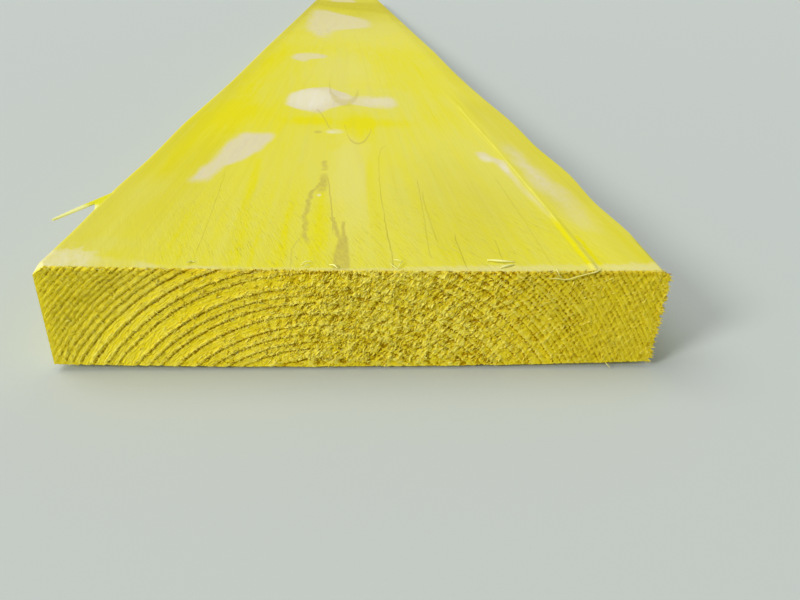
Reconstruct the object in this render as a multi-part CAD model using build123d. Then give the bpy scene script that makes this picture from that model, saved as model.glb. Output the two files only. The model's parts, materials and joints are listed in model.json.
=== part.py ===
from build123d import *
from math import cos, radians, sin, sqrt, tan
import os

# Rough-sawn softwood plank, one piece of timber, lying flat with its heart side down.
# X runs across the plank, Y along it and Z up. The origin is on the underside, under the
# middle of the length. The end with the worn corners and the splinter faces -Y.

# The stock, in millimetres.
length = 3000.0
width = 220.0
thickness = 40.0

# Cupping: as it dried, the plank's long edges rose and its top went hollow.
edge_rise = 2.2
top_hollow = 0.95
rest_strip = 40.0

# The long arris over the splinter is worn round. The other three are as sharp as the saw left them.
eased_arris = 2.4

# Waves that the saw left in the long edges: distance from the worn end, and how far out.
right_waves = [(20, -0.6), (46, -0.2), (71, -1.4), (117, 1.4), (184, -0.6), (234, 1.0), (320, -0.4), (650, -0.4)]
left_waves = [(30, -0.2), (85, 0.9), (136, 0.0), (207, 1.2), (300, 0.2), (400, -0.9), (600, 0.0)]
wave_run_out = 1000.0
saw_set = 4.0

# Corners knocked off at the worn end: how far across, down and along.
left_knock = (4.6, 3.0, 8.0)
right_knock = (3.0, 2.6, 42.0)

# Splinter lifted off the left arris. It points back to the worn end and still holds at its root.
splinter_from_end = 80.0
splinter_length = 36.5
splinter_angle = 18.5
splinter_width = 3.2
splinter_tip = 0.9
splinter_thickness = 1.5
splinter_tip_thickness = 0.8
splinter_drop = 0.2
splinter_bite = 4.0
scar_depth = 1.5

# Torn web between the splinter and the plank, and the neck where the free sliver leaves it.
web_length = 22.5
web_inset = 1.0
neck_at = 14.5

half_width = width / 2
front = -length / 2
back = length / 2
top_edge = thickness + top_hollow


def bow(across, rise, reach):
    """Height of an arc at a distance from its lowest point, when it rises by rise over reach."""
    radius = (reach**2 + rise**2) / (2 * rise)
    return radius - sqrt(radius**2 - across**2)


def under_height(x):
    """Height of the underside: flat along the middle, then rising to the long edges."""
    return bow(x - rest_strip / 2, edge_rise, half_width - rest_strip / 2)


def top_height(x):
    """Height of the hollow top."""
    return thickness + bow(x, top_hollow, half_width)


def cupped_blank():
    """The sawn section run along the whole length, a little wide for its wavy edges."""
    reach = half_width + saw_set
    low = under_height(reach)
    high = top_height(reach)
    with BuildPart() as blank:
        with BuildSketch(Plane.XZ.offset(back)):
            with BuildLine():
                right_curl = TangentArc((rest_strip / 2, 0), (reach, low), tangent=(1, 0))
                Line(right_curl @ 1, (reach, high))
                ThreePointArc((reach, high), (0, thickness), (-reach, high))
                Line((-reach, high), (-reach, low))
                left_curl = TangentArc((-rest_strip / 2, 0), (-reach, low), tangent=(-1, 0))
                Line(left_curl @ 0, right_curl @ 0)
            make_face()
        extrude(amount=-length)
    return blank.part


def sawn_side(side, waves):
    """One long edge seen from above, from the worn end to the far one."""
    points = [(side * (half_width + out), front + along) for along, out in waves]
    points.insert(0, (side * half_width, front))
    points.append((side * half_width, front + wave_run_out))
    return Spline(*points, tangents=((0, 1), (0, 1)))


def plan_outline():
    """The plank's outline from above, tall enough to trim the blank."""
    with BuildPart() as trim:
        with BuildSketch():
            with BuildLine():
                right = sawn_side(1, right_waves)
                Polyline(right @ 1, (half_width, back), (-half_width, back), (-half_width, front + wave_run_out))
                left = sawn_side(-1, left_waves)
                Line(left @ 0, right @ 0)
            make_face()
        extrude(amount=2 * thickness)
    return trim.part


def ease_arris(board):
    """Rounds the long arris on the left of the top."""
    long_edges = [edge for edge in board.edges() if edge.bounding_box().size.Y > thickness]
    upper = [edge for edge in long_edges if edge.center().Z > thickness / 2]
    return board.fillet(eased_arris, [edge for edge in upper if edge.center().X < -half_width + 2 * saw_set])


def broken_arris(side, along_at, heading, across, down, along, past_end):
    """What a break takes off a top arris: deepest at along_at, and run out at a distance heading off."""
    grow = 1 + saw_set / across + saw_set / down + past_end / along
    x = side * (half_width + saw_set)
    y = along_at - heading * past_end
    z = top_edge + saw_set
    corner = (x, y, z)
    inner = (x - side * across * grow, y, z)
    lower = (x, y, z - down * grow)
    runout = (x, y + heading * along * grow, z)
    sides = [(corner, inner, lower), (corner, inner, runout), (corner, lower, runout), (inner, lower, runout)]
    return Solid(Shell([Face(Wire.make_polygon(side)) for side in sides]))


def splinter():
    """The lifted sliver with the torn web at its root, seen from above and then thinned to its tip."""
    outward = tan(radians(splinter_angle))
    tip_along = splinter_length * cos(radians(splinter_angle))
    tip_out = splinter_length * sin(radians(splinter_angle))
    neck_out = neck_at * outward - splinter_width
    outline = [
        (-splinter_bite, -splinter_bite),
        (0, 0),
        (tip_along, tip_out),
        (tip_along - splinter_tip * outward, tip_out - splinter_tip),
        (neck_at, neck_out),
        (web_length, -web_inset),
        (web_length, -splinter_bite),
    ]
    root = front + splinter_from_end
    with BuildPart() as sliver:
        with BuildSketch():
            Polygon(*[(-half_width - out, root - along) for along, out in outline], align=None)
        extrude(amount=2 * thickness)
    top = top_edge - splinter_drop
    reach = tip_along + splinter_bite
    with BuildPart() as side_view:
        with BuildSketch(Plane.YZ):
            Polygon(
                (root + splinter_bite, top),
                (root - reach, top),
                (root - reach, top - splinter_tip_thickness),
                (root + splinter_bite, top - splinter_thickness),
                align=None,
            )
        extrude(amount=width, both=True)
    return sliver.part & side_view.part


board = ease_arris(cupped_blank() & plan_outline())
board -= broken_arris(-1, front, 1, *left_knock, saw_set)
board -= broken_arris(1, front, 1, *right_knock, saw_set)
board -= broken_arris(-1, front + splinter_from_end, -1, scar_depth, scar_depth, splinter_length, 0)
board += splinter()

os.makedirs("parts", exist_ok=True)
export_step(board, "parts/plank.step")
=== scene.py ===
import json
from functools import reduce
from math import cos, pi, radians, sin, sqrt

import bmesh
import bpy
from mathutils import Matrix, Vector
from mathutils.bvhtree import BVHTree
from numpy import interp

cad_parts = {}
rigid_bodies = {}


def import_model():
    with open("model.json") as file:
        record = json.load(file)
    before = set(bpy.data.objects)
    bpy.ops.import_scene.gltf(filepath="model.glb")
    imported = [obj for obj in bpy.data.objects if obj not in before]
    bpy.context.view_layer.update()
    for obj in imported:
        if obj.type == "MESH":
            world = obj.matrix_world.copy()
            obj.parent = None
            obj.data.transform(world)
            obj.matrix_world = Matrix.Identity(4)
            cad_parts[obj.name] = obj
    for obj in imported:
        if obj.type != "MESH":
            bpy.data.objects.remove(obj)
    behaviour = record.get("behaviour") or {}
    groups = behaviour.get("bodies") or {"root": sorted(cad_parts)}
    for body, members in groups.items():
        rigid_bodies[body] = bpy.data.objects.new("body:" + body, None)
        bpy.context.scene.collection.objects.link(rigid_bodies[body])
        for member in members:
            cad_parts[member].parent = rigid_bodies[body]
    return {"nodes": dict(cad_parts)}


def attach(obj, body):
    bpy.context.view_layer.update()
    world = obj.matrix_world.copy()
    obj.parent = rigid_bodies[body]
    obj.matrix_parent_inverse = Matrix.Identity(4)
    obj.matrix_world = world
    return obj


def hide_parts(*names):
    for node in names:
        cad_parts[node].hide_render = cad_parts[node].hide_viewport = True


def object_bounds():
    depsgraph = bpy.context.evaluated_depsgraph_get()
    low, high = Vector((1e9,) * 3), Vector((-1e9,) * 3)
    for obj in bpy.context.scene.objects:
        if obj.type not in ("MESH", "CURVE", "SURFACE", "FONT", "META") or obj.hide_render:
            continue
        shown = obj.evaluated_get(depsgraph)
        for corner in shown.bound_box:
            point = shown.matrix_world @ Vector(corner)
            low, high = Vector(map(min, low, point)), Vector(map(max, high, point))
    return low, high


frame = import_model()
cad_low, cad_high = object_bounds()

# The viewpoint: the lens stands low in front of the worn end and looks along the plank.
# It leans down, a little to the right, and is held slightly out of level.
MM = 0.001
worn_end = cad_low.y
far_end = cad_high.y
lens_place = (-0.0066, worn_end - 0.1976, 0.1316)
lens_pitch = radians(-27.31)
lens_heading = radians(-5.55)
lens_tilt = radians(2.74)
lens_length = 28.38

upright = Matrix.Rotation(pi / 2 + lens_pitch, 3, "X")
aim = Matrix.Rotation(lens_heading, 3, "Z") @ upright @ Matrix.Rotation(lens_tilt, 3, "Z")
bpy.ops.object.camera_add(location=lens_place, rotation=aim.to_euler())
bpy.context.object.data.lens = lens_length
bpy.context.object.data.clip_start = 0.01
bpy.context.scene.camera = bpy.context.object

# The studio: a plain pale floor under an even pale sky. A broad lamp high on the left and a little
# behind throws a soft shadow in front of the worn end, and a low one rakes over the end from the left.
# The shares of the lamps and the sky together light the plank's top at a level of about one.
floor_size = 80.0
floor_roughness = 0.8
sky_share = 0.4
lamps = [
    # share, tilt, heading, spread
    (0.33, 30, -105, 44),
    (0.29, 64, -57, 14),
]


def srgb(red, green, blue):
    """The colour of three sRGB numbers, as the shaders want it."""
    parts = [value / 255 for value in (red, green, blue)]
    return [p / 12.92 if p < 0.04045 else ((p + 0.055) / 1.055) ** 2.4 for p in parts] + [1.0]


floor_colour = srgb(192, 199, 194)
sky_colour = srgb(205, 211, 207)


def new_finish(name, roughness, gloss=0.5):
    """A material of nodes, and its shader."""
    finish = bpy.data.materials.new(name)
    finish.use_nodes = True
    shader = finish.node_tree.nodes["Principled BSDF"]
    shader.inputs["Roughness"].default_value = roughness
    shader.inputs["Specular IOR Level"].default_value = gloss
    return finish, shader


bpy.ops.mesh.primitive_plane_add(size=floor_size)
floor = bpy.context.object
floor.name = "floor"
floor_finish, floor_paint = new_finish("pale_floor", floor_roughness)
floor_paint.inputs["Base Color"].default_value = floor_colour
floor.data.materials.append(floor_finish)

world = bpy.data.worlds.new("pale_sky")
bpy.context.scene.world = world
world.use_nodes = True
sky_nodes = world.node_tree.nodes
sky_links = world.node_tree.links
sky_light = sky_nodes["Background"]
sky_light.inputs["Color"].default_value = (1, 1, 1, 1)
sky_light.inputs["Strength"].default_value = sky_share
sky_seen = sky_nodes.new("ShaderNodeBackground")
sky_seen.inputs["Color"].default_value = sky_colour
ray = sky_nodes.new("ShaderNodeLightPath")
clear_ray = ray.outputs["Is Camera Ray"]
for kind in ("Is Glossy Ray", "Is Transmission Ray"):
    either = sky_nodes.new("ShaderNodeMath")
    either.operation = "MAXIMUM"
    sky_links.new(clear_ray, either.inputs[0])
    sky_links.new(ray.outputs[kind], either.inputs[1])
    clear_ray = either.outputs[0]
sky_mix = sky_nodes.new("ShaderNodeMixShader")
sky_links.new(clear_ray, sky_mix.inputs[0])
sky_links.new(sky_light.outputs[0], sky_mix.inputs[1])
sky_links.new(sky_seen.outputs[0], sky_mix.inputs[2])
sky_links.new(sky_mix.outputs[0], sky_nodes["World Output"].inputs["Surface"])

for share, tilt, heading, spread in lamps:
    bpy.ops.object.light_add(type="SUN", rotation=(radians(tilt), 0, radians(heading)))
    lamp = bpy.context.object
    lamp.data.energy = share * pi / cos(radians(tilt))
    lamp.data.angle = radians(spread)
bpy.context.scene.view_settings.view_transform = "Standard"

# The timber is one rough-sawn softwood board. Its long edges rose as it dried, and the saw
# left waves in them. It is swept from its own section, and the CAD plank says where its sides lie.
mid_height = 20 * MM
thickness = 40 * MM
top_hollow = 0.95 * MM
edge_rise = 2.2 * MM
rest_strip = 40 * MM
half_width = 110 * MM
wave_blur = 9 * MM
cells_across = 55
cells_up = 10
near_stations = 30
near_step = 4 * MM
step_growth = 1.08
longest_step = 60 * MM
eased_arris = 2.4 * MM

cad_plank = frame["nodes"]["plank"]
corners = [vertex.co for vertex in cad_plank.data.vertices]
cad_skin = BVHTree.FromPolygons(corners, [face.vertices for face in cad_plank.data.polygons])


def bow(across, rise, reach):
    """Height of an arc at a distance from its lowest point, when it rises by rise over reach."""
    radius = (reach**2 + rise**2) / (2 * rise)
    return radius - sqrt(radius**2 - across**2)


def under_height(x):
    """Height of the underside: flat along the middle, then rising to the long edges."""
    return bow(max(abs(x) - rest_strip / 2, 0), edge_rise, half_width - rest_strip / 2)


def top_height(x):
    """Height of the hollow top."""
    return thickness + bow(x, top_hollow, half_width)


def sawn_side(side, y):
    """Where the CAD plank's long edge lies at a station, with its facets blurred away."""
    found = []
    for share in (-1.0, -0.5, 0.0, 0.5, 1.0):
        reach = min(abs(y - worn_end), wave_blur)
        station = min(max(y + share * reach, worn_end + MM), far_end - MM)
        hit = cad_skin.ray_cast(Vector((0, station, mid_height)), Vector((side, 0, 0)))
        found.append(hit[0].x)
    return sum(found) / len(found)


bpy.ops.object.select_all(action="DESELECT")
bpy.ops.mesh.primitive_grid_add(
    x_subdivisions=cells_across,
    y_subdivisions=cells_up,
    size=1,
    location=(0, worn_end, mid_height),
    rotation=(pi / 2, 0, 0),
)
timber = bpy.context.object
timber.name = "sawn_timber"
timber.scale = (2 * half_width, thickness, 1)
bpy.ops.object.transform_apply(location=True, rotation=True, scale=True)
for vertex in timber.data.vertices:
    share_up = vertex.co.z / thickness
    low = under_height(vertex.co.x)
    vertex.co.z = low + share_up * (top_height(vertex.co.x) - low)

steps = [near_step] * near_stations
while sum(steps) + steps[-1] < far_end - worn_end:
    steps.append(min(steps[-1] * step_growth, longest_step))
steps[-1] += far_end - worn_end - sum(steps)
bpy.ops.object.mode_set(mode="EDIT")
bpy.ops.mesh.select_all(action="SELECT")
station = worn_end
left = sawn_side(-1, station)
right = sawn_side(1, station)
for step in steps:
    station += step
    next_left = sawn_side(-1, station)
    next_right = sawn_side(1, station)
    shift = (next_left + next_right - left - right) / 2
    bpy.ops.mesh.extrude_region_move(TRANSFORM_OT_translate={"value": (shift, step, 0)})
    middle = ((next_left + next_right) / 2, station, 0)
    widening = (next_right - next_left) / (right - left)
    bpy.ops.transform.resize(value=(widening, 1, 1), center_override=middle)
    left = next_left
    right = next_right
bpy.ops.mesh.select_all(action="SELECT")
bpy.ops.mesh.normals_make_consistent(inside=False)


def choose(object_, kind, wanted):
    """Selects a mesh's faces or edges in edit mode, by what wanted says of each."""
    bpy.ops.mesh.select_all(action="DESELECT")
    bpy.ops.mesh.select_mode(type=kind)
    shape = bmesh.from_edit_mesh(object_.data)
    for element in shape.faces if kind == "FACE" else shape.edges:
        if wanted(element):
            element.select_set(True)
    shape.select_flush_mode()
    bmesh.update_edit_mesh(object_.data)


top_edge = top_height(half_width)


def on_left_arris(edge):
    """Whether an edge runs along the arris on the left of the top."""
    ends = [vertex.co for vertex in edge.verts]
    level = all(abs(end.z - top_edge) < 0.01 * MM for end in ends)
    return level and all(end.x < -half_width / 2 for end in ends) and abs(ends[0].y - ends[1].y) > MM


choose(timber, "EDGE", on_left_arris)
bpy.ops.mesh.bevel(offset=eased_arris, segments=4, affect="EDGES")
# The skin is cut finer where the relief needs it: both ends, the top behind the worn end, the ends
# again, and last the worn end with its arris.
finer_zones = [
    lambda middle: middle.y < worn_end + 104 * MM or middle.y > far_end - 12 * MM,
    lambda middle: middle.z > 30 * MM and middle.y < worn_end + 420 * MM and middle.y > worn_end + 104 * MM,
    lambda middle: (middle.y < worn_end + 60 * MM and middle.z > 4 * MM) or middle.y > far_end - 3 * MM,
    lambda middle: middle.y < worn_end + (8.1 if middle.z > 39 * MM else 2.1) * MM,
]
for zone in finer_zones:
    choose(timber, "FACE", lambda face: zone(face.calc_center_median()))
    bpy.ops.mesh.subdivide(number_cuts=1)
bpy.ops.object.mode_set(mode="OBJECT")


def settle(mesh):
    """Puts vertices and faces in the same order in every run, so that slivers always fall alike."""
    spots = [tuple(vertex.co) for vertex in mesh.vertices]
    order = sorted(range(len(spots)), key=lambda number: [round(value / MM, 3) for value in spots[number]])
    places = {number: place for place, number in enumerate(order)}
    rings = []
    for face in mesh.polygons:
        ring = [places[number] for number in face.vertices]
        first = ring.index(min(ring))
        rings.append(ring[first:] + ring[:first])
    mesh.clear_geometry()
    mesh.from_pydata([spots[number] for number in order], [], sorted(rings))


settle(timber.data)

# Growth rings, told by their distance from the pith, which lies under the board's left half.
# Each ring starts at a mark, and the wood is the outer part of the log, where they get narrow.


class Field:
    """A number that nodes work out at each spot, so that patterns can be written as sums."""

    def __init__(self, tree, socket):
        self.tree = tree
        self.socket = socket

    def node(self, kind, inputs, output=0, **settings):
        """A node in the same tree, with its inputs named or counted, as a new field."""
        made = self.tree.nodes.new(kind)
        for name, value in settings.items():
            setattr(made, name, value)
        for name, value in inputs.items():
            if isinstance(value, Field):
                self.tree.links.new(value.socket, made.inputs[name])
            else:
                made.inputs[name].default_value = value
        return Field(self.tree, made.outputs[output])

    def math(self, operation, *others, first=None):
        values = [self if first is None else first, *others]
        return self.node("ShaderNodeMath", dict(enumerate(values)), operation=operation)

    def __add__(self, other):
        return self.math("ADD", other)

    __radd__ = __add__

    def __sub__(self, other):
        return self.math("SUBTRACT", other)

    def __rsub__(self, other):
        return self.math("SUBTRACT", self, first=other)

    def __mul__(self, other):
        return self.math("MULTIPLY", other)

    __rmul__ = __mul__

    def __truediv__(self, other):
        return self.math("DIVIDE", other)

    def __pow__(self, other):
        return self.math("POWER", other)

    def __abs__(self):
        return self.math("ABSOLUTE")

    def sine(self):
        return self.math("SINE")

    def fraction(self):
        return self.math("FRACT")

    def least(self, other):
        return self.math("MINIMUM", other)

    def most(self, other):
        return self.math("MAXIMUM", other)

    def share(self):
        """The same number, held between 0 and 1."""
        return self.most(0.0).least(1.0)

    def ramp(self, start, end):
        """Rises smoothly from 0 at start to 1 at end, or falls where end is the smaller."""
        low, high = (start, end) if start < end else (end, start)
        limits = {0: self, 1: low, 2: high, 3: float(start > end), 4: float(start < end)}
        return self.node("ShaderNodeMapRange", limits, interpolation_type="SMOOTHSTEP")

    def within(self, first, last, fade):
        """Is 1 from first to last, and fades to 0 outside them."""
        return self.ramp(first - fade, first) * self.ramp(last + fade, last)

    def curve(self, points):
        """Follows a smooth curve through points of (this field, result)."""
        starts = [point[0] for point in points]
        results = [point[1] for point in points]
        low, high = min(starts), max(starts)
        least, span = min(results), max(results) - min(results)
        share = (self - low) / (high - low)
        bend = self.tree.nodes.new("ShaderNodeFloatCurve")
        line = bend.mapping.curves[0]
        for start, result in points[1:-1]:
            line.points.new((start - low) / (high - low), (result - least) / span)
        line.points[0].location = (0, (results[0] - least) / span)
        line.points[-1].location = (1, (results[-1] - least) / span)
        bend.mapping.update()
        self.tree.links.new(share.socket, bend.inputs["Value"])
        return Field(self.tree, bend.outputs[0]) * span + least


def reach_of(first, second):
    """Length of two sides of a right angle."""
    return (first * first + second * second) ** 0.5


def in_grains(across, along, up, grain, shift):
    """A place counted in grains, moved aside so that no two patterns are alike."""
    counted = {0: across / grain[0] + shift, 1: along / grain[1], 2: up / grain[2]}
    return across.node("ShaderNodeCombineXYZ", counted)


def noise(across, along, up, grain, detail=2.0, roughness=0.5, shift=0.0):
    """Smooth noise from about -1 to 1, with lumps of grain millimetres across, along and up."""
    spot = in_grains(across, along, up, grain, shift)
    settings = {"Vector": spot, "Scale": 1.0, "Detail": detail, "Roughness": roughness}
    return across.node("ShaderNodeTexNoise", settings) * 3.2 - 1.6


def millimetres(tree, place):
    """Splits a place into millimetres across, along from the worn end, and up."""
    whole = Field(tree, place)
    scaled = {0: whole, 1: (1 / MM,) * 3, 2: (0, -worn_end / MM, 0)}
    spot = whole.node("ShaderNodeVectorMath", scaled, operation="MULTIPLY_ADD")
    return [spot.node("ShaderNodeSeparateXYZ", {0: spot}, output=n) for n in range(3)]


pith_across = -14.2
pith_up = -52.9
ring_marks = [48.4, 52.9, 57.4, 61.8, 64.5, 67.7, 71.4, 76.2, 80.5, 83.7, 87.0, 92.4, 95.4, 99.2]
ring_marks += [103.1, 105.6, 107.9, 110.2, 112.2, 113.9, 115.5, 117.1, 119.0, 120.7, 122.6, 124.2]
ring_marks += [126.0, 127.5, 129.4]
outer_pitch = 1.85
outer_rings = 17
ring_marks += [ring_marks[-1] + outer_pitch * (number + 1) for number in range(outer_rings)]
ring_pitches = [(48, 4.5), (60, 3.6), (66, 3.2), (74, 4.5), (84, 3.4)]
ring_pitches += [(90, 5.0), (97, 3.6), (108, 2.3), (114, 1.75), (161, outer_pitch)]
log_taper = 0.0042


def ring_radius(across, along, up):
    """Distance from the pith in millimetres, bent a little as real rings are."""
    sweep = noise(across, along, up, (60, 260, 60), detail=1.0) * 0.9
    waver = noise(across, along, up, (6, 140, 6), detail=3.0, roughness=0.6, shift=7.3) * 0.3
    swell = (along - 140) * (along - 140) / 9000
    lifted = (0.0 - swell).math("EXPONENT") * 0.45
    return reach_of(across - pith_across, up - pith_up) + along * log_taper + sweep + waver + lifted


def ring_count(radius):
    """How many rings lie within a distance from the pith."""
    return radius.curve([(mark, count) for count, mark in enumerate(ring_marks)])


def ring_pitch(radius):
    """How wide the rings are at a distance from the pith, in millimetres."""
    return radius.curve(ring_pitches)


# How the cross-cut left the worn end. The winter wood stands proud in ridges with dark grooves
# beside them. The saw tore the middle into flakes, all slanting one way, and pitted the right.
ridge_height = 0.5
groove_depth = 0.66
flake_height = 1.3
pit_depth = 0.75
tear_slope = radians(48)
tear_pitch = 1.4
torn_share = [(-110, 0.1), (-62, 0.16), (-30, 0.5), (0, 0.95), (35, 0.85), (60, 0.5), (110, 0.35)]


def flakes(across, along, up, grain, shift=0.0):
    """A random number from 0 to 1 for each of many small flakes of wood."""
    spot = in_grains(across, along, up, grain, shift)
    colours = spot.node("ShaderNodeTexVoronoi", {"Vector": spot, "Scale": 1.0}, output="Color")
    return colours.node("ShaderNodeSeparateXYZ", {0: colours}, output=0)


def tear_axes(across, up):
    """Places along the tears of the end and across them."""
    along_tear = across * cos(tear_slope) + up * sin(tear_slope)
    return along_tear, up * cos(tear_slope) - across * sin(tear_slope)


def end_height(across, along, up):
    """Height of the end's relief in millimetres, outwards."""
    flat = along * 0
    ragged = noise(across, flat, up, (0.8, 9, 0.8), detail=3.0, roughness=0.6, shift=23.0)
    uneven = noise(across, flat, up, (9, 9, 9), detail=2.0, shift=29.0)
    along_tear, over_tear = tear_axes(across, up)
    torn = across.curve(torn_share)
    smooth = ring_radius(across, flat, up)
    pitch = ring_pitch(smooth)
    ticks = noise(along_tear, flat, over_tear, (0.55, 1, 1.7), detail=2.0, roughness=0.6, shift=27.0)
    past = ring_count(smooth + (ragged * 0.12 + ticks * 0.07) * pitch).fraction()
    narrow = (pitch / 3.3).least(1.0)
    groove = (past.least(1.0 - past) * pitch).ramp(0.62, 0.12) * (0.85 + uneven * 0.35).most(0.15)
    ridge = (past * pitch).ramp(1.7, 0.4) * (1.0 - torn * 0.4)
    mark = ((over_tear / tear_pitch + ragged * 0.14 + uneven * 0.7) * (2 * pi)).sine().ramp(-0.1, 0.8)
    dropped = flakes(along_tear, flat, over_tear, (1.6, 1, 1.6), 9.0).ramp(0.1, 0.45)
    pitted = across.ramp(8, 48) * (1.25 - across * 0.006 + up * 0.012).least(1.0)
    pitted = (pitted + across.ramp(-45, -80) * 0.25) * (1.0 - across.ramp(55, 90) * 0.45)
    pit = groove.most(0.12) * mark.most(0.2) * pitted * dropped * (0.9 + uneven * 0.5).most(0.0)
    large_flake = flakes(along_tear, flat, over_tear, (3.0, 1, 1.5))
    small_flake = flakes(along_tear, flat, over_tear, (1.5, 1, 0.8), 5.0)
    flake = large_flake * 0.55 + small_flake * 0.45 - 0.5
    groove = groove * (1.0 - torn * 0.4) * (1.0 - across.ramp(15, 60) * 0.55)
    height = (ridge * ridge_height - groove * groove_depth) * narrow - pit * pit_depth
    height = height + flake * torn * flake_height + ragged * (torn * 0.1 + 0.06)
    return height + ticks * (1.0 - torn) * 0.17


# The relief is cut into the mesh by nodes: first the knocked corners and the worn front arris,
# then the ridges and flakes of both ends, and the fibres and the lip of the top.
left_knock = (4.6, 3.0, 8.0)
right_knock = (3.0, 2.6, 42.0)
scar = (1.5, 1.5, 36.5)
scar_start = 80.0
out_of_reach = 99
tooth_pitch = 4.7
tooth_start = 0.6
lip_line = [(0, 82.2), (46, 83.3), (168, 83.1), (256, 81.8), (600, 80.5)]


def shape_tree(name):
    """A tree of nodes that changes a mesh: what goes in, and its places in millimetres."""
    tree = bpy.data.node_groups.new(name, "GeometryNodeTree")
    for way in ("INPUT", "OUTPUT"):
        tree.interface.new_socket("Geometry", in_out=way, socket_type="NodeSocketGeometry")
    start = Field(tree, tree.nodes.new("NodeGroupInput").outputs[0])
    return start, millimetres(tree, tree.nodes.new("GeometryNodeInputPosition").outputs[0])


def change_shape(piece, result):
    """Gives a piece the mesh that its tree of nodes ends in."""
    result.tree.links.new(result.socket, result.tree.nodes.new("NodeGroupOutput").inputs[0])
    change = piece.modifiers.new(result.tree.name, "NODES")
    change.node_group = result.tree
    bpy.context.view_layer.objects.active = piece
    bpy.ops.object.modifier_apply(modifier=change.name)


def metres(across, along, up):
    """A spot in metres from millimetres across, along from the worn end, and up."""
    spot = across.node("ShaderNodeCombineXYZ", {0: across, 1: along, 2: up})
    scaled = {0: spot, 1: (MM,) * 3, 2: (0, worn_end, 0)}
    return spot.node("ShaderNodeVectorMath", scaled, operation="MULTIPLY_ADD")


plain_timber, sawn_place = shape_tree("timber_relief")
across, along, up = sawn_place
left_gap = across + half_width / MM
right_gap = half_width / MM - across
from_scar = (scar_start - along) * along.ramp(scar_start + 1, scar_start)
from_scar = from_scar + along.ramp(scar_start, scar_start + 1) * out_of_reach
breaks = [
    (left_gap, along, left_knock, 1),
    (right_gap, along, right_knock, -1),
    (left_gap, from_scar, scar, 1),
]
for inward, away, knock, side in breaks:
    slope = [1 / value for value in knock]
    down = top_edge / MM - up
    lack = (1.0 - inward * slope[0] - down * slope[1] - away * slope[2]).most(0.0)
    push = lack / sum(value**2 for value in slope)
    across = across + push * slope[0] * side
    up = up - push * slope[1]
teeth = noise(across * 0, along * 0, up, (9, 9, 5), shift=66.0) * 0.5 + up * (pi / tooth_pitch) + tooth_start
across = across + (abs(teeth.sine()) * 0.7 - 0.3) * across.ramp(104, 109) * along.ramp(4, 0.5)
torn_under = noise(across, along * 0, up * 0, (8, 8, 8), detail=3.0, shift=13.0) * 0.35 + 1.25
up = up + torn_under * along.ramp(7, 0) * up.ramp(4.5, 0)
wear = noise(across, along * 0, up * 0, (6, 7, 7), detail=4.0, roughness=0.6, shift=3.0) * 0.5 + 0.85
arris_height = (across * across) * (top_hollow / MM / (half_width / MM) ** 2) + thickness / MM
down = arris_height - up
short_along = (wear - along).most(0.0)
short_down = (wear - down).most(0.0)
rounding = wear / reach_of(short_along, short_down).most(wear)
worn_along = along + (short_along - short_along * rounding)
worn_up = up - (short_down - short_down * rounding)
worn_place = {"Geometry": plain_timber, "Position": metres(across, worn_along, worn_up)}
shaped = plain_timber.node("GeometryNodeSetPosition", worn_place)

across, along, up = sawn_place
length_mm = (far_end - worn_end) / MM
near_top = up.ramp(38.5, 39.8)
at_front = along.ramp(1.4, 0.4)
at_back = along.ramp(length_mm - 1.4, length_mm - 0.4)
clean_rim = across.ramp(-110.5, -106.5) * up.ramp(-0.5, 3.5) * 0.85 + 0.15
outwards = end_height(across, along, up) * (at_back * 0.6 - at_front) * clean_rim
slant = across + along * 0.4
fuzz = noise(slant, along, up, (1.5, 15, 4), detail=3.0, roughness=0.6, shift=5.0)
fuzz = fuzz * along.ramp(0.6, 2.5) * along.ramp(110, 60)
lip = abs(across - along.curve(lip_line)).ramp(1.6, 0.2) * along.ramp(430, 300)
torn_front = end_height(across, along, up * 0 + 39.0).least(0.2) * along.ramp(2.0, 0.3)
upwards = (fuzz * 0.06 + lip * 0.4 + torn_front * 0.6) * near_top
relief = upwards.node("ShaderNodeCombineXYZ", {0: 0.0, 1: outwards * MM, 2: upwards * MM})
change_shape(timber, shaped.node("GeometryNodeSetPosition", {"Geometry": shaped, "Offset": relief}))


def pick(piece):
    """Selects one object alone and makes it the active one."""
    bpy.ops.object.select_all(action="DESELECT")
    piece.select_set(True)
    bpy.context.view_layer.objects.active = piece


pick(timber)
bpy.ops.object.shade_smooth_by_angle(angle=radians(50))

# The finish of the timber: a thin yellow dye, brushed on unevenly. It soaked deep into the end,
# missed some patches of the top, and is worn off along the front arris.
strong_dye = srgb(228, 219, 22)
soft_dye = srgb(223, 217, 92)
pale_dye = srgb(227, 221, 128)
deep_dye = srgb(196, 184, 34)
bare_wood = srgb(223, 213, 178)
white_wood = srgb(234, 229, 206)
dusty_wood = srgb(208, 196, 148)
tan_stain = srgb(196, 182, 84)
grain_line = srgb(172, 160, 58)
cream_wear = srgb(228, 221, 164)
end_dye = srgb(252, 230, 36)
# The end's deep colour serves both for dye gathered in the grooves and for painted shade, and its pale colour
# both for pale fibres and for a painted highlight.
end_deep_dye_and_shade = srgb(186, 147, 0)
end_pale_dye_and_highlight = srgb(255, 243, 106)
# A darker, duller yellow, for dull places of the top and for the painted shade on its far part.
dull_and_shaded_dye = srgb(194, 184, 64)
# The colour of the painted highlight along the crest of the lip.
lip_highlight_colour = srgb(240, 234, 96)
# The direction, down and to the right, of end faces that are painted deeper as painted shade, away from the
# lamps.
painted_shade_direction = (0.8, 0.3, -0.5)
dye_roughness = 0.78
dye_gloss = 0.04

dyed_timber, paint = new_finish("dyed_timber", dye_roughness, dye_gloss)
paint_tree = dyed_timber.node_tree
paint_place = paint_tree.nodes.new("ShaderNodeTexCoord").outputs["Object"]
across, along, up = millimetres(paint_tree, paint_place)


def blend(share, first, second):
    """The first colour where share is 0 and the second where it is 1."""
    colours = {0: share, 6: first, 7: second}
    return share.node("ShaderNodeMix", colours, output=2, data_type="RGBA")


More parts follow.
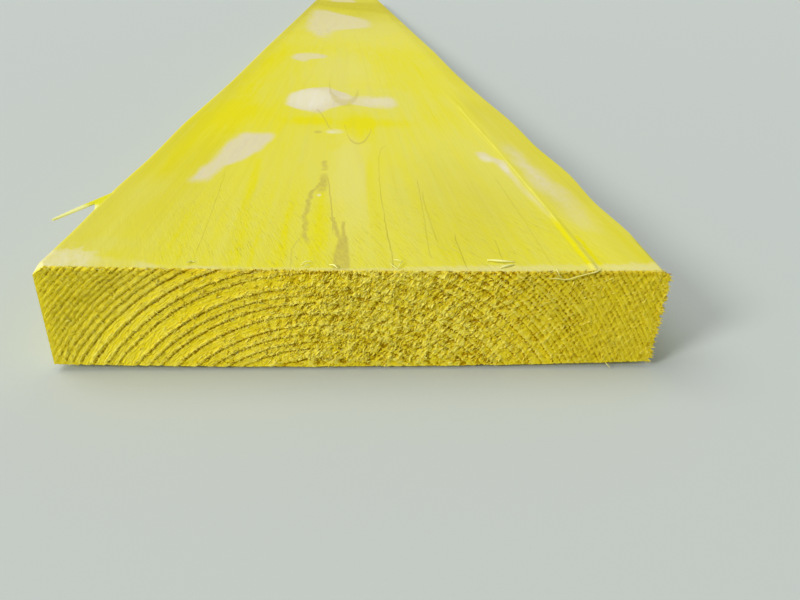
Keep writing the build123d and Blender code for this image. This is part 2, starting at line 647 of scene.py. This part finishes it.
def blotch(middle, half, turn=0.0, ragged=0.35, soft=0.5):
    """A ragged soft-edged patch of the top, 1 inside, from its middle and half sizes."""
    angle = radians(turn)
    right = across - middle[0]
    away = along - middle[1]
    over = (right * cos(angle) + away * sin(angle)) / half[0]
    deep = (away * cos(angle) - right * sin(angle)) / half[1]
    return (reach_of(over, deep) + ragged_edge * ragged).ramp(1.0 + soft, 1.0 - soft)


def strip(soft, blur, *points):
    """A soft strip of the top that follows points of (along, left edge, right edge)."""
    astray = along + ragged_edge * blur * 0.6
    inner_left = across - along.curve([(point[0], point[1]) for point in points])
    inner_right = along.curve([(point[0], point[2]) for point in points]) - across
    drawn = astray.within(points[0][0] + blur, points[-1][0] - blur, 2 * blur)
    for side in (inner_left, inner_right):
        drawn = drawn * (side + ragged_edge * soft * 0.8).ramp(-soft, soft)
    return drawn


def stroke(half, *points, fade=8.0, waver=0.4):
    """A line of the top that follows points of (along, across), with ends that fade."""
    drawn = abs(across - along.curve(points) + line_waver * waver).ramp(half, half * 0.2)
    return drawn * along.within(points[0][0], points[-1][0], fade)


def arc(half, *points):
    """A line of the top that bends round a knot, through points of (across, along)."""
    drawn = abs(along - across.curve(points) + line_waver * half * 0.3).ramp(half, half * 0.2)
    return drawn * across.within(points[0][0], points[-1][0], 0.6)


ragged_edge = noise(across, along, up, (9, 30, 9), detail=4.0, roughness=0.6, shift=21.0)
ragged_arris = noise(across, along, up, (3, 5, 3), detail=3.0, roughness=0.65, shift=24.0)
line_waver = noise(across, along, up, (30, 9, 30), detail=2.0, shift=4.0)
cloud = noise(across, along, up, (50, 140, 50), detail=3.0, shift=1.0)
broad_streak = noise(across + along * 0.02, along, up, (6, 120, 20), detail=2.0, roughness=0.6, shift=6.0)
streak = noise(across, along, up, (3.0, 170, 9), detail=3.0, roughness=0.6, shift=9.0)
fine_streak = noise(across, along, up, (0.8, 60, 3), detail=2.0, shift=14.0)
fleck = noise(across + along * 0.34, along, up, (0.8, 6, 3), detail=4.0, roughness=0.75, shift=17.0)
nick_slant = across + along * 0.36 + fleck * 0.3
nick = noise(nick_slant, along, up, (0.5, 8, 3), detail=4.0, roughness=0.7, shift=18.0)
patchy = noise(across, along, up, (11, 26, 9), shift=19.0)
near = along.ramp(150, 20) * across.ramp(-100, -60) * across.ramp(98, 80) * (0.75 + patchy * 0.5).most(0.1)

# Where the dye lies thick, or thin where the amount is negative: middle, half sizes, amount.
dye_clouds = [
    ((-17.5, 46), (4.2, 42), 0.45),
    ((6.0, 88), (2.4, 46), 0.3),
    ((-93, 21), (9, 6), -0.4),
    ((2.3, 238), (9, 40), 0.75),
    ((-31, 246), (15, 13), 0.6),
    ((17, 243), (19, 13), 0.5),
    ((-84, 268), (32, 48), 0.3),
    ((-93, 200), (16, 120), 0.45),
    ((-90, 560), (14, 200), 0.4),
    ((-97, 44), (13, 16), -0.15),
    ((-97, 84), (12, 20), -0.3),
    ((-28, 140), (16, 65), -0.3),
    ((62, 130), (34, 90), -0.3),
    ((72, 110), (8, 75), -0.25),
    ((10, 320), (44, 60), -0.4),
    ((38, 620), (32, 150), 0.25),
    ((0, 1800), (90, 250), 0.4),
    ((0, 540), (40, 150), -0.2),
]
dye_strokes = [
    stroke(3.6, (6, -46), (70, -49.5), (139, -53), waver=0.5) * 0.3,
    stroke(3.2, (7, -29.5), (70, -30.2), (131, -31), waver=0.5) * 0.3,
    stroke(1.3, (2, 81.4), (20, 82.0), (44, 82.4), waver=0.5) * 0.9,
    stroke(1.3, (0, 85.4), (12, 86.0), (30, 86.4), waver=0.5) * 0.9,
]
strength = cloud * 0.2 + broad_streak * 0.34 + streak * 0.22 + fine_streak * 0.06 + fleck * near * 0.85 + 0.45
for middle, half, amount in dye_clouds:
    strength = strength + blotch(middle, half, soft=0.7) * amount
strength = strength + sum(dye_strokes)
top_colour = blend(strength.share(), soft_dye, strong_dye)
top_colour = blend(nick.ramp(0.15, 0.8) * near * 0.7, top_colour, grain_line)
faded = blotch((-3.5, 118), (9.5, 84), soft=0.6) * 0.65 - blotch((6.0, 88), (2.4, 46), soft=0.9) * 0.8
faded = faded.most(blotch((-8, 500), (32, 140), soft=0.8) * 0.45)
faded = faded.most(blotch((22, 1080), (80, 300), soft=0.8) * 0.55) * (0.85 + streak * 0.3)
top_colour = blend(faded.share(), top_colour, pale_dye)
thick_far = (along + across * 1.5).ramp(1560, 1800) * along.ramp(2260, 2080)
top_colour = blend(thick_far * (0.55 + broad_streak * 0.2).most(0.0), top_colour, deep_dye)
# Dull places of the top: darker towards the long edges and in a few blotches, and painted shade that darkens
# the whole top from about 0.7 m along and beyond, standing in for dimmer light on the far part of the plank.
dull_and_far_shade_places = [
    abs(across).ramp(88, 104) * 0.3 + along.ramp(700, 1600) * 0.5,
    blotch((47, 75), (26, 72), soft=0.7) * 0.26,
    across.ramp(84, 90) * along.ramp(30, 90) * along.ramp(420, 300) * 0.42,
    blotch((-86, 105), (16, 90), soft=0.7) * 0.28,
]
dull_and_far_shade = reduce(Field.most, dull_and_far_shade_places) * (0.85 + cloud * 0.3 + streak * 0.3).most(0.0)
top_colour = blend(dull_and_far_shade, top_colour, dull_and_shaded_dye)

count = ring_count(ring_radius(across, along, up))
winter = abs(count.fraction() - 0.5).ramp(0.3, 0.5)
top_colour = blend(winter * (streak * 0.08 + 0.06).most(0.0), top_colour, tan_stain)

# Patches that the dye missed, from the worn end to the far one, and last the two beside the lip.
left_patch = strip(
    2.6, 7.0,
    (101, -80, -73), (115, -80, -71), (125, -79, -69), (135, -77, -64),
    (155, -75.5, -56.5), (175, -74.5, -53), (195, -72.5, -50.5), (202, -71, -51),
)
knot_patch = strip(
    3.0, 12.0,
    (276, -35, -24), (290, -46, -18), (300, -51.5, -13), (310, -53, -6), (330, -53, -1),
    (350, -52, -4), (360, -48, -8), (370, -44, -15), (386, -29, -21),
)
knot_tail = strip(3.6, 14.0, (297, 14, 29), (305, 4, 31), (315, -4, 32), (338, -6, 32), (346, 0, 31))
third_patch = strip(
    4.0, 20.0,
    (555, -57, -53), (565, -60, -50), (575, -65, -50), (590, -69, -39),
    (600, -70, -32), (615, -69, -31), (630, -64, -35), (642, -57, -44),
)
long_patch = strip(
    12.0, 90.0,
    (860, -50, -35), (950, -66, -31), (1000, -73, -22), (1050, -76, 12), (1100, -78, 33),
    (1200, -82, 40), (1300, -84, 34), (1400, -86, 4), (1500, -88, -30), (1600, -88, -52),
)
last_patch = strip(9.0, 60.0, (2130, -52, 6), (2200, -62, 24), (2290, -56, 22), (2420, -34, -4))
left_of_lip = strip(
    2.0, 5.0,
    (58, 80.6, 82.8), (74, 80.0, 82.8), (95, 78.5, 81.4), (115, 77.8, 81.2), (135, 76.2, 81.6),
    (146, 74.8, 82), (152, 70.4, 79), (160, 68.6, 76.2), (168, 70, 75),
)
right_of_lip = strip(
    4.5, 14.0,
    (40, 92, 97), (60, 89, 99), (80, 88.8, 100), (103, 87, 99),
    (125, 87.4, 97), (140, 87.6, 96), (165, 88, 95), (215, 89, 94),
)
right_of_lip = right_of_lip * (along.ramp(50, 120) * 0.4 + 0.35) * along.ramp(205, 150)
bare_patches = [
    left_patch,
    knot_patch,
    knot_tail * 0.85,
    third_patch * 0.8,
    long_patch * 0.75,
    last_patch * 0.7,
    left_of_lip * (along.ramp(100, 135) * 0.35 + 0.55) * (0.9 + ragged_arris * 0.3),
    right_of_lip * (0.9 + ragged_arris * 0.35),
]
bare = reduce(Field.most, bare_patches)
bare = bare * (0.9 + streak * 0.22 + ragged_edge * 0.12).least(1.0)
whiter = blotch((-36, 330), (17, 42), soft=0.5) * 0.8 + blotch((20, 325), (12, 20), soft=0.6) * 0.3
bare_colour = blend(whiter + (streak * 0.2).most(0.0), bare_wood, white_wood)
dusty = (ragged_edge * 0.5 + streak * 0.4 - whiter).most(0.0).least(0.7)
bare_colour = blend(dusty, bare_colour, dusty_wood)
top_colour = blend(bare, top_colour, bare_colour)

# A tan stain behind the middle of the worn end, the rings round two knots, thin lines of grain,
# and a few white spots.
broken = (ragged_arris * 0.5 + fleck * 0.4 + 0.75).share()
faint = broken * 0.6 + 0.35
stain_foot = strip(
    0.7, 3.0, (0, -11.0, -5.2), (8, -10.9, -5.2), (16, -10.7, -5.4), (26, -10.0, -5.6), (34, -9.4, -6.2)
)
far_knot = arc(
    22.0, (-22.3, 470), (-20.7, 376), (-17.9, 346), (-13.2, 324), (-6.8, 316), (-1.3, 326), (3.4, 365)
)
near_knot = arc(
    4.4,
    (-7.6, 232), (-6.7, 222.4), (-5.5, 202.4), (-3.1, 189.4),
    (-0.1, 183.3), (3.6, 187.5), (7.0, 201.1), (9.6, 221.4),
)
stains = [
    stain_foot * (broken * 0.7 + nick * 0.3 + 0.2).most(0.1).least(1.0),
    stroke(1.5, (22, -7.0), (36, -9.6), (46, -11.3), (53, -12.2), fade=2, waver=0.9) * faint,
    stroke(1.1, (24, -6.3), (36, -7.2), (48, -7.8), fade=2, waver=0.8) * faint,
    stroke(0.5, (6, -25.7), (21, -26.0), (31, -21.8)) * 0.35,
    stroke(1.7, (30, -21.4), (55, -23.4), (83, -22.6), (94, -20.6), (112, -17.0), waver=1.2) * broken * 0.9,
    stroke(0.55, (42, -11.8), (71, -13.2), (109, -15.5)) * 0.7,
    stroke(2.8, (92, -18), (104, -17.6), (113, -17.2), waver=1.0) * broken * 0.9,
    stroke(2.2, (126, -17.4), (134, -17.9), (141, -18.4), fade=4, waver=1.0) * broken * 0.8,
    stroke(1.0, (216, -11.6), (224, -17.2), (252, -21.3), (282, -27.3), waver=0.6) * 0.45,
    far_knot * 0.42,
    near_knot * 0.6,
    blotch((-24.5, 211), (2.4, 4), soft=0.4) * 0.6,
]
top_colour = blend(reduce(Field.most, stains), top_colour, tan_stain)
long_line = stroke(0.4, (4, 10.2), (24, 10.1), (50, 9.6), (86, 9.7), (139, 11.1), (176, 15.6))
lines = [
    long_line * (along.ramp(120, 30) * 0.35 + 0.32),
    stroke(0.4, (17, 24.5), (49, 26.2), (106, 29.0)) * 0.35,
    stroke(0.45, (31, 28.9), (55, 28.6), (86, 29.4)) * 0.35,
    stroke(0.35, (7, 36.4), (19, 36.3), (31, 36.5)) * 0.6,
    stroke(0.35, (11, 50.6), (18, 51.0), (25, 51.4)) * 0.6,
    stroke(0.4, (20, -60), (60, -62.5), (110, -66)) * 0.3,
    stroke(0.4, (10, 68), (50, 69), (110, 70)) * 0.25,
]
drawn = reduce(Field.most, lines) * (0.8 + line_waver * 0.5).most(0.2)
top_colour = blend(drawn, top_colour, grain_line)
white_spots = [
    blotch((-13.5, 214), (5.0, 6), soft=0.6) * 0.35,
    blotch((-16.3, 211), (2.8, 4)) * 0.3,
    blotch((-18.9, 83), (0.9, 1.6), ragged=0.1) * 0.6,
    blotch((72.3, 152), (3, 6), soft=0.6) * 0.4,
    blotch((79.2, 134), (1.6, 8), soft=0.6) * 0.4,
]
top_colour = blend(sum(white_spots).least(1.0), top_colour, white_wood)
# A painted highlight: a bright line along the crest of the raised lip, as if it caught the light, weaker over
# the bare wood.
painted_lip_highlight = stroke(0.75, (56, 83.2), (104, 83.2), (168, 83.1), (256, 81.8), (300, 81.4), fade=14, waver=0.0)
painted_lip_highlight = painted_lip_highlight * (0.75 + line_waver * 0.4).most(0.2)
top_colour = blend(painted_lip_highlight * (1.0 - bare * 0.5), top_colour, lip_highlight_colour)

# The front arris is rubbed pale: how far back from it at each place across, and how much.
band_reach = [(-110, 16), (-105, 16.5), (-102, 17.2), (-96.5, 15), (-91.4, 10.5), (-86.5, 8.2)]
band_reach += [(-76, 6.2), (-70, 3.8), (-40, 3.2), (-5, 2.8), (20, 4.2), (42, 5.6), (72, 6.4)]
band_reach += [(94, 7.0), (110, 9)]
band_share = [(-110, 0.95), (-99, 0.95), (-93, 0.6), (-87, 0.3), (-81, 0.15), (-76, 0.5), (-72, 0.5)]
band_share += [(-67, 0.12), (-61, 0.2), (-57, 0.55), (-52, 0.5), (-46, 0.25), (-20, 0.4), (0, 0.4)]
band_share += [(30, 0.5), (62, 0.5), (78, 0.35), (92, 0.6), (110, 0.5)]
band = (along / across.curve(band_reach) + ragged_arris * 0.42).ramp(1.25, 0.7)
band = band * across.curve(band_share) * (0.85 + ragged_arris * 0.45 + nick * 0.2).most(0.1)
band_dust = (ragged_arris * 0.6 + fleck * 0.3).most(0.0).least(0.8) * across.ramp(-90, -60)
top_colour = blend(band.share(), top_colour, blend(band_dust, cream_wear, dusty_wood))

# The end's colour is the yellow dye with painted light laid over it. The crests and the torn tips are painted
# palest, partly pale dye and partly a painted highlight, and the grooves deepest, partly dye gathered there
# and partly painted shade. The sides of crumbs and ridges that face down and to the right, away from the
# lamps, are painted deeper as painted shade.
end_level = end_height(across, along, up)
along_tear, over_tear = tear_axes(across, up)
tears = noise(along_tear, along, over_tear, (1.5, 4, 0.45), detail=2.0, roughness=0.6, shift=35.0)
ring_fibre = noise(count, along, along_tear, (0.12, 4, 3), detail=2.0, shift=38.0)
torn = across.curve(torn_share)
tears = tears * torn + ring_fibre * (1.0 - torn)
end_grain = noise(across, along, up, (0.7, 4, 0.7), detail=3.0, roughness=0.7, shift=31.0)
end_cloud = noise(across, along, up, (22, 20, 14), detail=3.0, shift=41.0)
shade = Field(paint_tree, None).node("ShaderNodeAttribute", {}, output="Fac", attribute_name="shade")
is_crumb = abs(shade).ramp(0.0, 0.01)
# On crumbs the roots are painted deeper and the tips paler, painted shade at the roots and a painted
# highlight on the tips, over each crumb's own random tone.
end_level = end_level * (1.0 - is_crumb) + shade * 0.8 - (along + 0.25) * is_crumb * 0.8
quiet = 1.0 - across.ramp(50, 100) * 0.35
# Painted shade: faces of crumbs and ridges that turn down and to the right, away from the lamps, are painted
# deeper and less pale.
facing = Field(paint_tree, paint_tree.nodes.new("ShaderNodeTexCoord").outputs["Normal"])
away_from_lamps = {0: facing, 1: painted_shade_direction}
painted_shade_facing = facing.node("ShaderNodeVectorMath", away_from_lamps, output="Value", operation="DOT_PRODUCT") + 0.3
# Paler places: the dye's own pale tears and grain, and a painted highlight on the crests and on faces that
# turn towards the lamps.
paler_dye_and_highlight = (end_grain * 0.3 + tears * 0.7 + end_cloud * 0.2 - painted_shade_facing * 0.5 + 0.1).most(0.0)
paler_dye_and_highlight = (paler_dye_and_highlight + end_level.ramp(0.05, 0.55) * 0.8) * quiet
# Deeper places: dye in the grooves together with painted shade there, and a darker tone towards the right.
deeper_dye_and_shade = (end_level.ramp(0.0, -0.5) + tears.ramp(-0.05, -1.0) * 0.65) * quiet
deeper_dye_and_shade = deeper_dye_and_shade + across.ramp(10, 60) * 0.17 + across.ramp(-90, -50) * across.ramp(0, -30) * 0.06
# Painted shade in a strip just under the top arris, and on faces turned away from the lamps.
deeper_dye_and_shade = deeper_dye_and_shade + up.ramp(38.4, 39.6) * 0.25 + painted_shade_facing.ramp(0.0, 0.8) * 0.45
deeper_dye_and_shade = deeper_dye_and_shade - across.ramp(-60, -95) * 0.65 - torn * 0.1
end_colour = blend(deeper_dye_and_shade.share(), blend(paler_dye_and_highlight.least(1.0), end_dye, end_pale_dye_and_highlight), end_deep_dye_and_shade)
sunk = end_level.least(0.0) * up.ramp(39.9, 39.2) * 1.2
on_worn_side = (along + sunk + ragged_edge * 0.3).ramp(1.5, 0.6)
on_end = (on_worn_side + along.ramp(length_mm - 1.5, length_mm - 0.6)).least(1.0)
colour = blend(on_end, top_colour, end_colour)
paint_tree.links.new(colour.socket, paint.inputs["Base Color"])

fibre = noise(across + along * 0.3, along, up, (0.9, 12, 1.2), detail=4.0, roughness=0.7, shift=51.0)
end_fibre = noise(across, along, up, (0.45, 2, 0.45), detail=3.0, roughness=0.7, shift=61.0)
bump_height = (fibre * 0.018 + (fleck * 0.065 - nick * 0.04) * near) * (1.0 - on_end)
bump_height = bump_height + (end_fibre * 0.1 + tears * 0.34) * on_end
bump = bump_height.node("ShaderNodeBump", {"Height": bump_height, "Distance": MM, "Strength": 1.0})
paint_tree.links.new(bump.socket, paint.inputs["Normal"])

timber.data.materials.clear()
timber.data.materials.append(dyed_timber)
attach(timber, "root")
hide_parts("plank")

# The cross-cut pulled the fibres of the end out into short crumbs, thick in the middle and thin on
# the left, where the ridges show. They lie along the tears, still held at their roots.
crumb_density = 1.2e6
crumb_thick = (0.3, 0.8)
crumb_long = (0.9, 1.8)
crumb_share = [(-110, 0.02), (-60, 0.06), (-25, 0.5), (5, 1.0)]
crumb_share += [(32, 0.85), (50, 0.45), (75, 0.25), (110, 0.22)]
ridge_density = 1.9e6
ridge_thick = (0.2, 0.42)
ridge_long = (0.5, 1.1)


def sliver_object(sides, root, tip):
    """A small closed sliver with its root at the origin, one unit long, to be scattered."""
    bpy.ops.object.select_all(action="DESELECT")
    bpy.ops.mesh.primitive_cone_add(vertices=sides, radius1=root, radius2=tip, depth=1, location=(0, 0, 0.4))
    bpy.ops.object.transform_apply(location=True)
    return bpy.context.object


def piece_of_timber(name, wanted):
    """A copy of the timber's skin that keeps only the faces that are wanted."""
    pick(timber)
    bpy.ops.object.duplicate()
    skin = bpy.context.object
    skin.name = name
    bpy.ops.object.mode_set(mode="EDIT")
    choose(skin, "FACE", lambda face: not wanted(face))
    bpy.ops.mesh.delete(type="FACE")
    bpy.ops.object.mode_set(mode="OBJECT")
    return skin


def random_number(field, low, high, seed):
    """An even random number for each scattered sliver."""
    limits = {2: low, 3: high, 8: seed}
    return field.node("FunctionNodeRandomValue", limits, output=1, data_type="FLOAT")


def scatter(skin, sliver, density, aim, thick, long, finish, seed):
    """Plants slivers over a skin, pointing along an aim, and makes them the skin's mesh."""
    start, place = shape_tree(skin.name)
    sown = {"Mesh": start, "Density": density(*place), "Seed": seed}
    planted = start.node("GeometryNodeDistributePointsOnFaces", sown)
    side = random_number(start, thick[0], thick[1], seed + 1) * MM
    height = random_number(start, long[0], long[1], seed + 2) * MM
    flatter = side * random_number(start, 0.5, 0.9, seed + 3)
    size = start.node("ShaderNodeCombineXYZ", {0: side, 1: flatter, 2: height})
    stray = [random_number(start, -1.0, 1.0, seed + 4 + n) for n in range(3)]
    toward = start.node("ShaderNodeCombineXYZ", dict(enumerate(aim(*place, *stray))))
    turned = start.node("FunctionNodeAlignRotationToVector", {"Vector": toward}, axis="Z")
    model = start.node("GeometryNodeObjectInfo", {"Object": sliver}, output="Geometry")
    stood = {"Points": planted, "Instance": model, "Rotation": turned, "Scale": size}
    stood = start.node("GeometryNodeInstanceOnPoints", stood)
    shade = random_number(start, -0.45, 0.8, seed + 9)
    shaded = {"Geometry": stood, "Name": "shade", "Value": shade}
    shaded = start.node("GeometryNodeStoreNamedAttribute", shaded, domain="INSTANCE", data_type="FLOAT")
    change_shape(skin, start.node("GeometryNodeRealizeInstances", {0: shaded}))
    skin.data.materials.clear()
    skin.data.materials.append(finish)
    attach(skin, "root")


def on_worn_end(face):
    """Whether a face belongs to the worn end."""
    return face.calc_center_median().y < worn_end + 0.6 * MM and face.normal.y < -0.3


def crumb_crowd(across, along, up):
    """Crumbs to the square metre at a spot of the end."""
    clump = noise(across, along * 0, up, (5, 5, 5), shift=70.0)
    return across.curve(crumb_share) * (0.8 + clump * 0.6).most(0.1) * up.ramp(2.0, 5.0) * crumb_density


def ridge_crowd(across, along, up):
    """Small crumbs to the square metre: they follow the ridges of the rings."""
    radius = ring_radius(across, along * 0, up)
    past = ring_count(radius).fraction() * ring_pitch(radius)
    on_ridge = past.ramp(1.6, 0.5) * across.ramp(25, -20) * across.ramp(-110, -104)
    return on_ridge * up.ramp(1.5, 4.0) * ridge_density


def crumb_aim(across, along, up, stray_across, stray_along, stray_up):
    """Outwards, and along the tears one way or the other."""
    way = stray_along.ramp(-0.1, 0.1) * 1.6 - 0.8
    return stray_across * 0.4 + way, stray_up * 0.2 - 0.3, stray_across * -0.4 + way


def ridge_aim(across, along, up, stray_across, stray_along, stray_up):
    """Outwards, and across the rings one way or the other."""
    way = stray_along.ramp(-0.1, 0.1) * 2.0 - 1.0
    return (
        (across - pith_across) / 110 * way + stray_across * 0.35,
        stray_up * 0.25 - 0.4,
        (up - pith_up) / 110 * way + stray_across * 0.35,
    )


crumb = sliver_object(4, 0.6, 0.3)
end_crumbs = piece_of_timber("end_crumbs", on_worn_end)
scatter(end_crumbs, crumb, crumb_crowd, crumb_aim, crumb_thick, crumb_long, dyed_timber, seed=100)
ridge_crumbs = piece_of_timber("ridge_crumbs", on_worn_end)
scatter(ridge_crumbs, crumb, ridge_crowd, ridge_aim, ridge_thick, ridge_long, dyed_timber, seed=150)
bpy.data.objects.remove(crumb)

# Torn fibres have pale clean wood inside, with a thin tint of the dye. Only the web that holds the splinter
# soaked up more of it, and the hairs that hang over the end below the top are a darker, duller yellow.
pale_fibre = srgb(236, 238, 132)
clean_fibre = srgb(242, 240, 176)
soaked_fibre = srgb(226, 222, 40)
hanging_hair_colour = srgb(212, 202, 84)
fibre_roughness = 0.75
fibre_gloss = 0.06

torn_fibre, fibre_paint = new_finish("torn_fibre", fibre_roughness, fibre_gloss)
fibre_tree = torn_fibre.node_tree
fibre_place = fibre_tree.nodes.new("ShaderNodeTexCoord").outputs["Object"]
across, along, up = millimetres(fibre_tree, fibre_place)
strand = noise(across + along * 0.33, along, up, (0.5, 9, 0.5), detail=3.0, roughness=0.6, shift=2.0)
soaked = along.ramp(60, 65) * across.ramp(-105, -107)
strand_colour = blend((strand * 0.5 + 0.45).share(), pale_fibre, clean_fibre)
strand_colour = blend(soaked, strand_colour, soaked_fibre)
# Hairs that hang in front of the end, below the top, are made darker and more yellow.
strand_colour = blend(along.ramp(1.0, -0.6) * up.ramp(41.4, 40.4) * 0.75, strand_colour, hanging_hair_colour)
fibre_tree.links.new(strand_colour.socket, fibre_paint.inputs["Base Color"])
strand_bump = strand.node("ShaderNodeBump", {"Height": strand, "Distance": 0.04 * MM, "Strength": 1.0})
fibre_tree.links.new(strand_bump.socket, fibre_paint.inputs["Normal"])

# The lifted splinter is a sliver torn off the long arris on the left. It points back to the worn
# end, and a torn web at its root still holds it.
splinter_top = 40.75
sliver_rows = [
    # along, left edge, right edge
    (45.2, -121.2, -120.3),
    (47, -121.1, -119.2),
    (55.7, -118.4, -115.4),
    (63, -115.9, -112.6),
    (69, -113.7, -109.6),
    (75, -111.5, -107),
    (80, -109.6, -106),
]
web_rows = [
    (57.2, -109.4, -106),
    (60, -110, -106),
    (63, -110.9, -106),
    (65.2, -112, -106),
    (72, -111.6, -106),
]


def torn_strip(rows, tip_thick, root_thick):
    """A closed sliver between a left and a right edge, flat above and rounder below."""
    bpy.ops.object.select_all(action="DESELECT")
    bpy.ops.mesh.primitive_grid_add(x_subdivisions=6, y_subdivisions=60, size=2)
    torn_piece = bpy.context.object
    bpy.ops.object.mode_set(mode="EDIT")
    bpy.ops.mesh.select_all(action="SELECT")
    bpy.ops.mesh.extrude_region_move(TRANSFORM_OT_translate={"value": (0, 0, -1)})
    bpy.ops.mesh.select_all(action="SELECT")
    bpy.ops.mesh.normals_make_consistent(inside=False)
    bpy.ops.object.mode_set(mode="OBJECT")
    starts = [row[0] for row in rows]
    for vertex in torn_piece.data.vertices:
        share = (vertex.co.y + 1) / 2
        along = starts[0] + share * (starts[-1] - starts[0])
        frayed = 0.12 * sin(along * 2.3) + 0.08 * sin(along * 5.9 + 1)
        left = interp(along, starts, [row[1] for row in rows]) + frayed
        right = interp(along, starts, [row[2] for row in rows]) + frayed * 0.5
        thick = tip_thick + share * (root_thick - tip_thick)
        below = vertex.co.z < -0.5
        drop = 1 - 0.7 * vertex.co.x**2 if below else 0.2 * vertex.co.x**4
        across = left + (vertex.co.x + 1) / 2 * (right - left)
        vertex.co = (across * MM, worn_end + along * MM, (splinter_top - thick * drop) * MM)
    return torn_piece


splinter = torn_strip(sliver_rows, 0.8, 1.3)
torn_strip(web_rows, 0.9, 1.3)
splinter.name = "lifted_splinter"
splinter.select_set(True)
bpy.context.view_layer.objects.active = splinter
bpy.ops.object.join()
bpy.ops.object.shade_smooth_by_angle(angle=radians(40))
splinter.data.materials.append(torn_fibre)
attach(splinter, "root")

# Short hairs of torn wood stand along the front arris, and coarser tufts stick out of the
# right-hand edge of the end, where the saw came out.
hair_density = 1.3e6
hair_thick = (0.2, 0.48)
hair_long = (0.7, 1.8)
tuft_density = 1.9e6
tuft_thick = (0.4, 1.0)
tuft_long = (0.7, 1.9)


def on_front_arris(face):
    """Whether a face lies on the arris between the worn end and the top."""
    return face.normal.z > 0.5 and face.calc_center_median().y < worn_end + 1.5 * MM


def hair_crowd(across, along, up):
    """Hairs to the square metre along the arris."""
    clump = noise(across, along * 0, up * 0, (4, 4, 4), detail=3.0, shift=80.0)
    return (0.6 + clump * 0.9).most(0.02) * hair_density


def hair_aim(across, along, up, stray_across, stray_along, stray_up):
    """Out over the end, leaning either way."""
    return stray_across * 1.2, stray_along * 0.3 - 0.4, stray_up * 0.25 + 0.32


hair = sliver_object(3, 0.5, 0.15)
arris_hairs = piece_of_timber("arris_hairs", on_front_arris)
scatter(arris_hairs, hair, hair_crowd, hair_aim, hair_thick, hair_long, torn_fibre, seed=200)


def on_right_edge(face):
    """Whether a face lies beside the upright arris on the right of the worn end."""
    middle = face.calc_center_median()
    return middle.y < worn_end + 2.5 * MM and middle.x > half_width - 1.8 * MM and middle.z > 2 * MM


def tuft_crowd(across, along, up):
    """Tufts to the square metre, crowded where the edge bulges."""
    return abs((up * (pi / tooth_pitch) + tooth_start).sine()) * tuft_density


def tuft_aim(across, along, up, stray_across, stray_along, stray_up):
    """Out to the right, a little down and forward."""
    return stray_across * 0.2 + 1.0, stray_along * 0.3 - 0.35, stray_up * 0.5 - 0.15


tuft = sliver_object(4, 0.55, 0.1)
edge_tufts = piece_of_timber("edge_tufts", on_right_edge)
scatter(edge_tufts, tuft, tuft_crowd, tuft_aim, tuft_thick, tuft_long, dyed_timber, seed=300)
bpy.data.objects.remove(hair)
bpy.data.objects.remove(tuft)

# Loose fibres: two straws that lie on the top, a long whisker that hangs over the arris with a short
# one across it, a few curled ones left of them, and one that sticks out low on the right.
loose_fibres = [
    # places across, along and up in millimetres, and how thick the fibre is
    ([(44.5, 9.1, 40.8), (47.3, 8.6, 40.9), (50.5, 8.0, 40.9), (54.4, 8.2, 40.6)], 0.85),
    ([(48.1, 3.1, 40.5), (50.5, 4.1, 40.8), (53.8, 5.9, 40.5)], 0.8),
    (
        [(65.0, -1.0, 38.3), (67.8, -1.2, 38.4), (71.5, -1.4, 38.2), (74.3, -1.3, 39.0)]
        + [(78.1, -1.1, 40.1), (82.0, -0.6, 40.9), (84.9, 2.4, 40.8)],
        0.5,
    ),
    ([(68.3, 2.7, 40.5), (67.9, -0.8, 40.8), (68.6, -1.2, 39.6), (69.6, -1.3, 38.9)], 0.45),
    ([(11.2, 1.5, 40.4), (12.4, 4.5, 40.9), (13.7, 7.7, 40.8)], 0.35),
    ([(10.5, 8.8, 40.8), (11.7, 8.3, 40.9), (13.1, 7.6, 40.8)], 0.4),
    ([(11.4, 1.4, 40.4), (10.2, 3.5, 40.6), (8.9, 6.3, 40.4)], 0.28),
    ([(-22.1, 4.3, 40.4), (-20.5, 5.9, 41.0), (-18.3, 6.3, 40.9)], 0.5),
    ([(-21.1, 2.7, 40.4), (-19.9, 3.5, 40.8), (-18.7, 3.7, 40.5)], 0.4),
    ([(-12.3, 4.7, 40.4), (-10.7, 3.5, 40.9), (-9.4, 1.7, 40.4)], 0.55),
    ([(92.4, 0.8, 2.6), (93.6, -0.9, 1.9), (94.6, -1.6, 0.7)], 0.35),
    ([(-60.6, 3.8, 41.1), (-59.8, 6.3, 40.6), (-58.4, 6.2, 40.5)], 0.5),
]
for spots, thick in loose_fibres:
    bpy.ops.curve.primitive_bezier_curve_add(location=(0, worn_end, 0))
    path = bpy.context.object
    path.data.bevel_depth = thick * MM / 2
    path.data.bevel_resolution = 1
    path.data.resolution_u = 5
    path.data.use_fill_caps = True
    line = path.data.splines[0]
    line.bezier_points.add(len(spots) - 2)
    for number, spot in enumerate(spots):
        knot = line.bezier_points[number]
        knot.handle_left_type = "AUTO"
        knot.handle_right_type = "AUTO"
        knot.co = Vector(spot) * MM
        knot.radius = 0.45 if number in (0, len(spots) - 1) else 1.0
    bpy.ops.object.convert(target="MESH")
    bpy.ops.object.mode_set(mode="EDIT")
    bpy.ops.mesh.select_all(action="SELECT")
    bpy.ops.mesh.remove_doubles(threshold=0.001 * MM)
    bpy.ops.object.mode_set(mode="OBJECT")
    path.name = "loose_fibre"
bpy.ops.object.select_all(action="DESELECT")
for strand_object in [piece for piece in bpy.data.objects if piece.name.startswith("loose_fibre")]:
    strand_object.select_set(True)
    bpy.context.view_layer.objects.active = strand_object
bpy.ops.object.join()
fibres = bpy.context.object
fibres.name = "loose_fibres"
bpy.ops.object.transform_apply(location=True, rotation=True, scale=True)
fibres.data.materials.clear()
fibres.data.materials.append(torn_fibre)
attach(fibres, "root")
